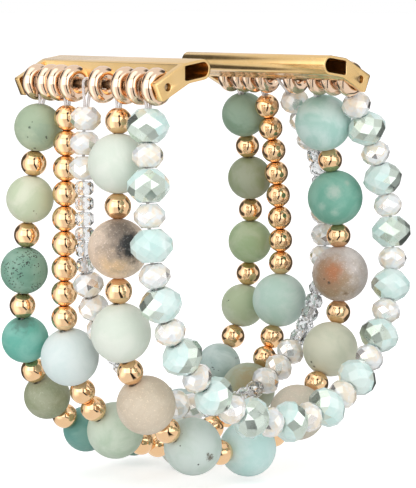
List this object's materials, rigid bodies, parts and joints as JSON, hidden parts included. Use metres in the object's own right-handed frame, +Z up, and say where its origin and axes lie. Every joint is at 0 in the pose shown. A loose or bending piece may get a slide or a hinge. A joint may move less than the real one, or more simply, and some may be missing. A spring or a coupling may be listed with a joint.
{
  "type": "bead watch band",
  "caption": "Elastic watch band of stone, crystal and gold beads in parallel strands, looped on cross pins with gold spacer rings between slide-in adapters.",
  "frame": {"origin": "the point where the lower beads bear on the underside of the wrist, midway between the pins", "axes": "+X along the pins across the band, +Y from the near pin to the far pin, +Z up towards the watch"},
  "size_m": [0.042, 0.0621, 0.0688],
  "materials": {
    "stone": "matte frosted mineral",
    "bead_gold": "polished rose gold plate",
    "ring_gold": "polished rose gold plate",
    "adapter_gold": "satin gold plate",
    "pin_steel": "drawn wire",
    "aqua_crystal": "cut crystal, half coated",
    "opal_crystal": "milky cut crystal",
    "clear_crystal": "clear cut crystal",
    "clear_cord": "clear elastic"
  },
  "bodies": {
    "lower_run": {"aqua_low_aquas": "aqua_crystal", "aqua_low_opals": "opal_crystal", "gold_low_beads": "bead_gold", "gold_low_stones": "stone", "opal_low_opals": "opal_crystal", "opal_low_seeds": "clear_crystal", "sage_low_gold": "bead_gold", "sage_low_stones": "stone", "stone_low_gold": "bead_gold", "stone_low_stones": "stone", "sage_cord": "clear_cord", "gold_cord": "clear_cord", "opal_cord": "clear_cord", "stone_cord": "clear_cord", "aqua_cord": "clear_cord"},
    "near_run": {"aqua_near_aquas": "aqua_crystal", "aqua_near_opals": "opal_crystal", "gold_near_beads": "bead_gold", "opal_near_opals": "opal_crystal", "opal_near_seeds": "clear_crystal", "sage_near_gold": "bead_gold", "sage_near_stones": "stone", "stone_near_gold": "bead_gold", "stone_near_stones": "stone", "near_pin": "pin_steel"},
    "far_run": {"aqua_far_aquas": "aqua_crystal", "aqua_far_opals": "opal_crystal", "gold_far_beads": "bead_gold", "opal_far_opals": "opal_crystal", "opal_far_seeds": "clear_crystal", "sage_far_gold": "bead_gold", "sage_far_stones": "stone", "stone_far_gold": "bead_gold", "stone_far_stones": "stone", "far_pin": "pin_steel"},
    "near_adapter": {"near_adapter": "adapter_gold"},
    "far_adapter": {"far_adapter": "adapter_gold"},
    "near_ring_1": {"near_ring_1": "ring_gold"},
    "near_ring_2": {"near_ring_2": "ring_gold"},
    "near_ring_3": {"near_ring_3": "ring_gold"},
    "near_ring_4": {"near_ring_4": "ring_gold"},
    "near_ring_5": {"near_ring_5": "ring_gold"},
    "near_ring_6": {"near_ring_6": "ring_gold"},
    "near_ring_7": {"near_ring_7": "ring_gold"},
    "near_ring_8": {"near_ring_8": "ring_gold"},
    "far_ring_1": {"far_ring_1": "ring_gold"},
    "far_ring_2": {"far_ring_2": "ring_gold"},
    "far_ring_3": {"far_ring_3": "ring_gold"},
    "far_ring_4": {"far_ring_4": "ring_gold"},
    "far_ring_5": {"far_ring_5": "ring_gold"},
    "far_ring_6": {"far_ring_6": "ring_gold"},
    "far_ring_7": {"far_ring_7": "ring_gold"},
    "far_ring_8": {"far_ring_8": "ring_gold"}
  },
  "joints": [
    {"name": "near_stretch", "type": "slide", "parent": "lower_run", "child": "near_run", "axis": [0, 0, 1], "range_m": [0, 0.01], "stiffness_N_per_m": 120, "deforming": ["sage_cord", "gold_cord", "opal_cord", "stone_cord", "aqua_cord"]},
    {"name": "far_stretch", "type": "slide", "parent": "lower_run", "child": "far_run", "axis": [0, 0, 1], "range_m": [0, 0.01], "stiffness_N_per_m": 120},
    {"name": "near_swing", "type": "hinge", "parent": "near_run", "child": "near_adapter", "pos_m": [0, -0.022, 0.05035], "axis": [1, 0, 0], "range_deg": [-40, 150]},
    {"name": "far_swing", "type": "hinge", "parent": "far_run", "child": "far_adapter", "pos_m": [0, 0.022, 0.05035], "axis": [-1, 0, 0], "range_deg": [-40, 150]},
    {"name": "near_ring_1_spin", "type": "hinge", "parent": "near_run", "child": "near_ring_1", "pos_m": [0, -0.022, 0.05035], "axis": [1, 0, 0], "continuous": true},
    {"name": "near_ring_2_spin", "type": "hinge", "parent": "near_run", "child": "near_ring_2", "pos_m": [0, -0.022, 0.05035], "axis": [1, 0, 0], "continuous": true},
    {"name": "near_ring_3_spin", "type": "hinge", "parent": "near_run", "child": "near_ring_3", "pos_m": [0, -0.022, 0.05035], "axis": [1, 0, 0], "continuous": true},
    {"name": "near_ring_4_spin", "type": "hinge", "parent": "near_run", "child": "near_ring_4", "pos_m": [0, -0.022, 0.05035], "axis": [1, 0, 0], "continuous": true},
    {"name": "near_ring_5_spin", "type": "hinge", "parent": "near_run", "child": "near_ring_5", "pos_m": [0, -0.022, 0.05035], "axis": [1, 0, 0], "continuous": true},
    {"name": "near_ring_6_spin", "type": "hinge", "parent": "near_run", "child": "near_ring_6", "pos_m": [0, -0.022, 0.05035], "axis": [1, 0, 0], "continuous": true},
    {"name": "near_ring_7_spin", "type": "hinge", "parent": "near_run", "child": "near_ring_7", "pos_m": [0, -0.022, 0.05035], "axis": [1, 0, 0], "continuous": true},
    {"name": "near_ring_8_spin", "type": "hinge", "parent": "near_run", "child": "near_ring_8", "pos_m": [0, -0.022, 0.05035], "axis": [1, 0, 0], "continuous": true},
    {"name": "far_ring_1_spin", "type": "hinge", "parent": "far_run", "child": "far_ring_1", "pos_m": [0, 0.022, 0.05035], "axis": [1, 0, 0], "continuous": true},
    {"name": "far_ring_2_spin", "type": "hinge", "parent": "far_run", "child": "far_ring_2", "pos_m": [0, 0.022, 0.05035], "axis": [1, 0, 0], "continuous": true},
    {"name": "far_ring_3_spin", "type": "hinge", "parent": "far_run", "child": "far_ring_3", "pos_m": [0, 0.022, 0.05035], "axis": [1, 0, 0], "continuous": true},
    {"name": "far_ring_4_spin", "type": "hinge", "parent": "far_run", "child": "far_ring_4", "pos_m": [0, 0.022, 0.05035], "axis": [1, 0, 0], "continuous": true},
    {"name": "far_ring_5_spin", "type": "hinge", "parent": "far_run", "child": "far_ring_5", "pos_m": [0, 0.022, 0.05035], "axis": [1, 0, 0], "continuous": true},
    {"name": "far_ring_6_spin", "type": "hinge", "parent": "far_run", "child": "far_ring_6", "pos_m": [0, 0.022, 0.05035], "axis": [1, 0, 0], "continuous": true},
    {"name": "far_ring_7_spin", "type": "hinge", "parent": "far_run", "child": "far_ring_7", "pos_m": [0, 0.022, 0.05035], "axis": [1, 0, 0], "continuous": true},
    {"name": "far_ring_8_spin", "type": "hinge", "parent": "far_run", "child": "far_ring_8", "pos_m": [0, 0.022, 0.05035], "axis": [1, 0, 0], "continuous": true}
  ],
  "couplings": [
    {"joint": "far_stretch", "follows": "near_stretch", "ratio": 1}
  ]
}
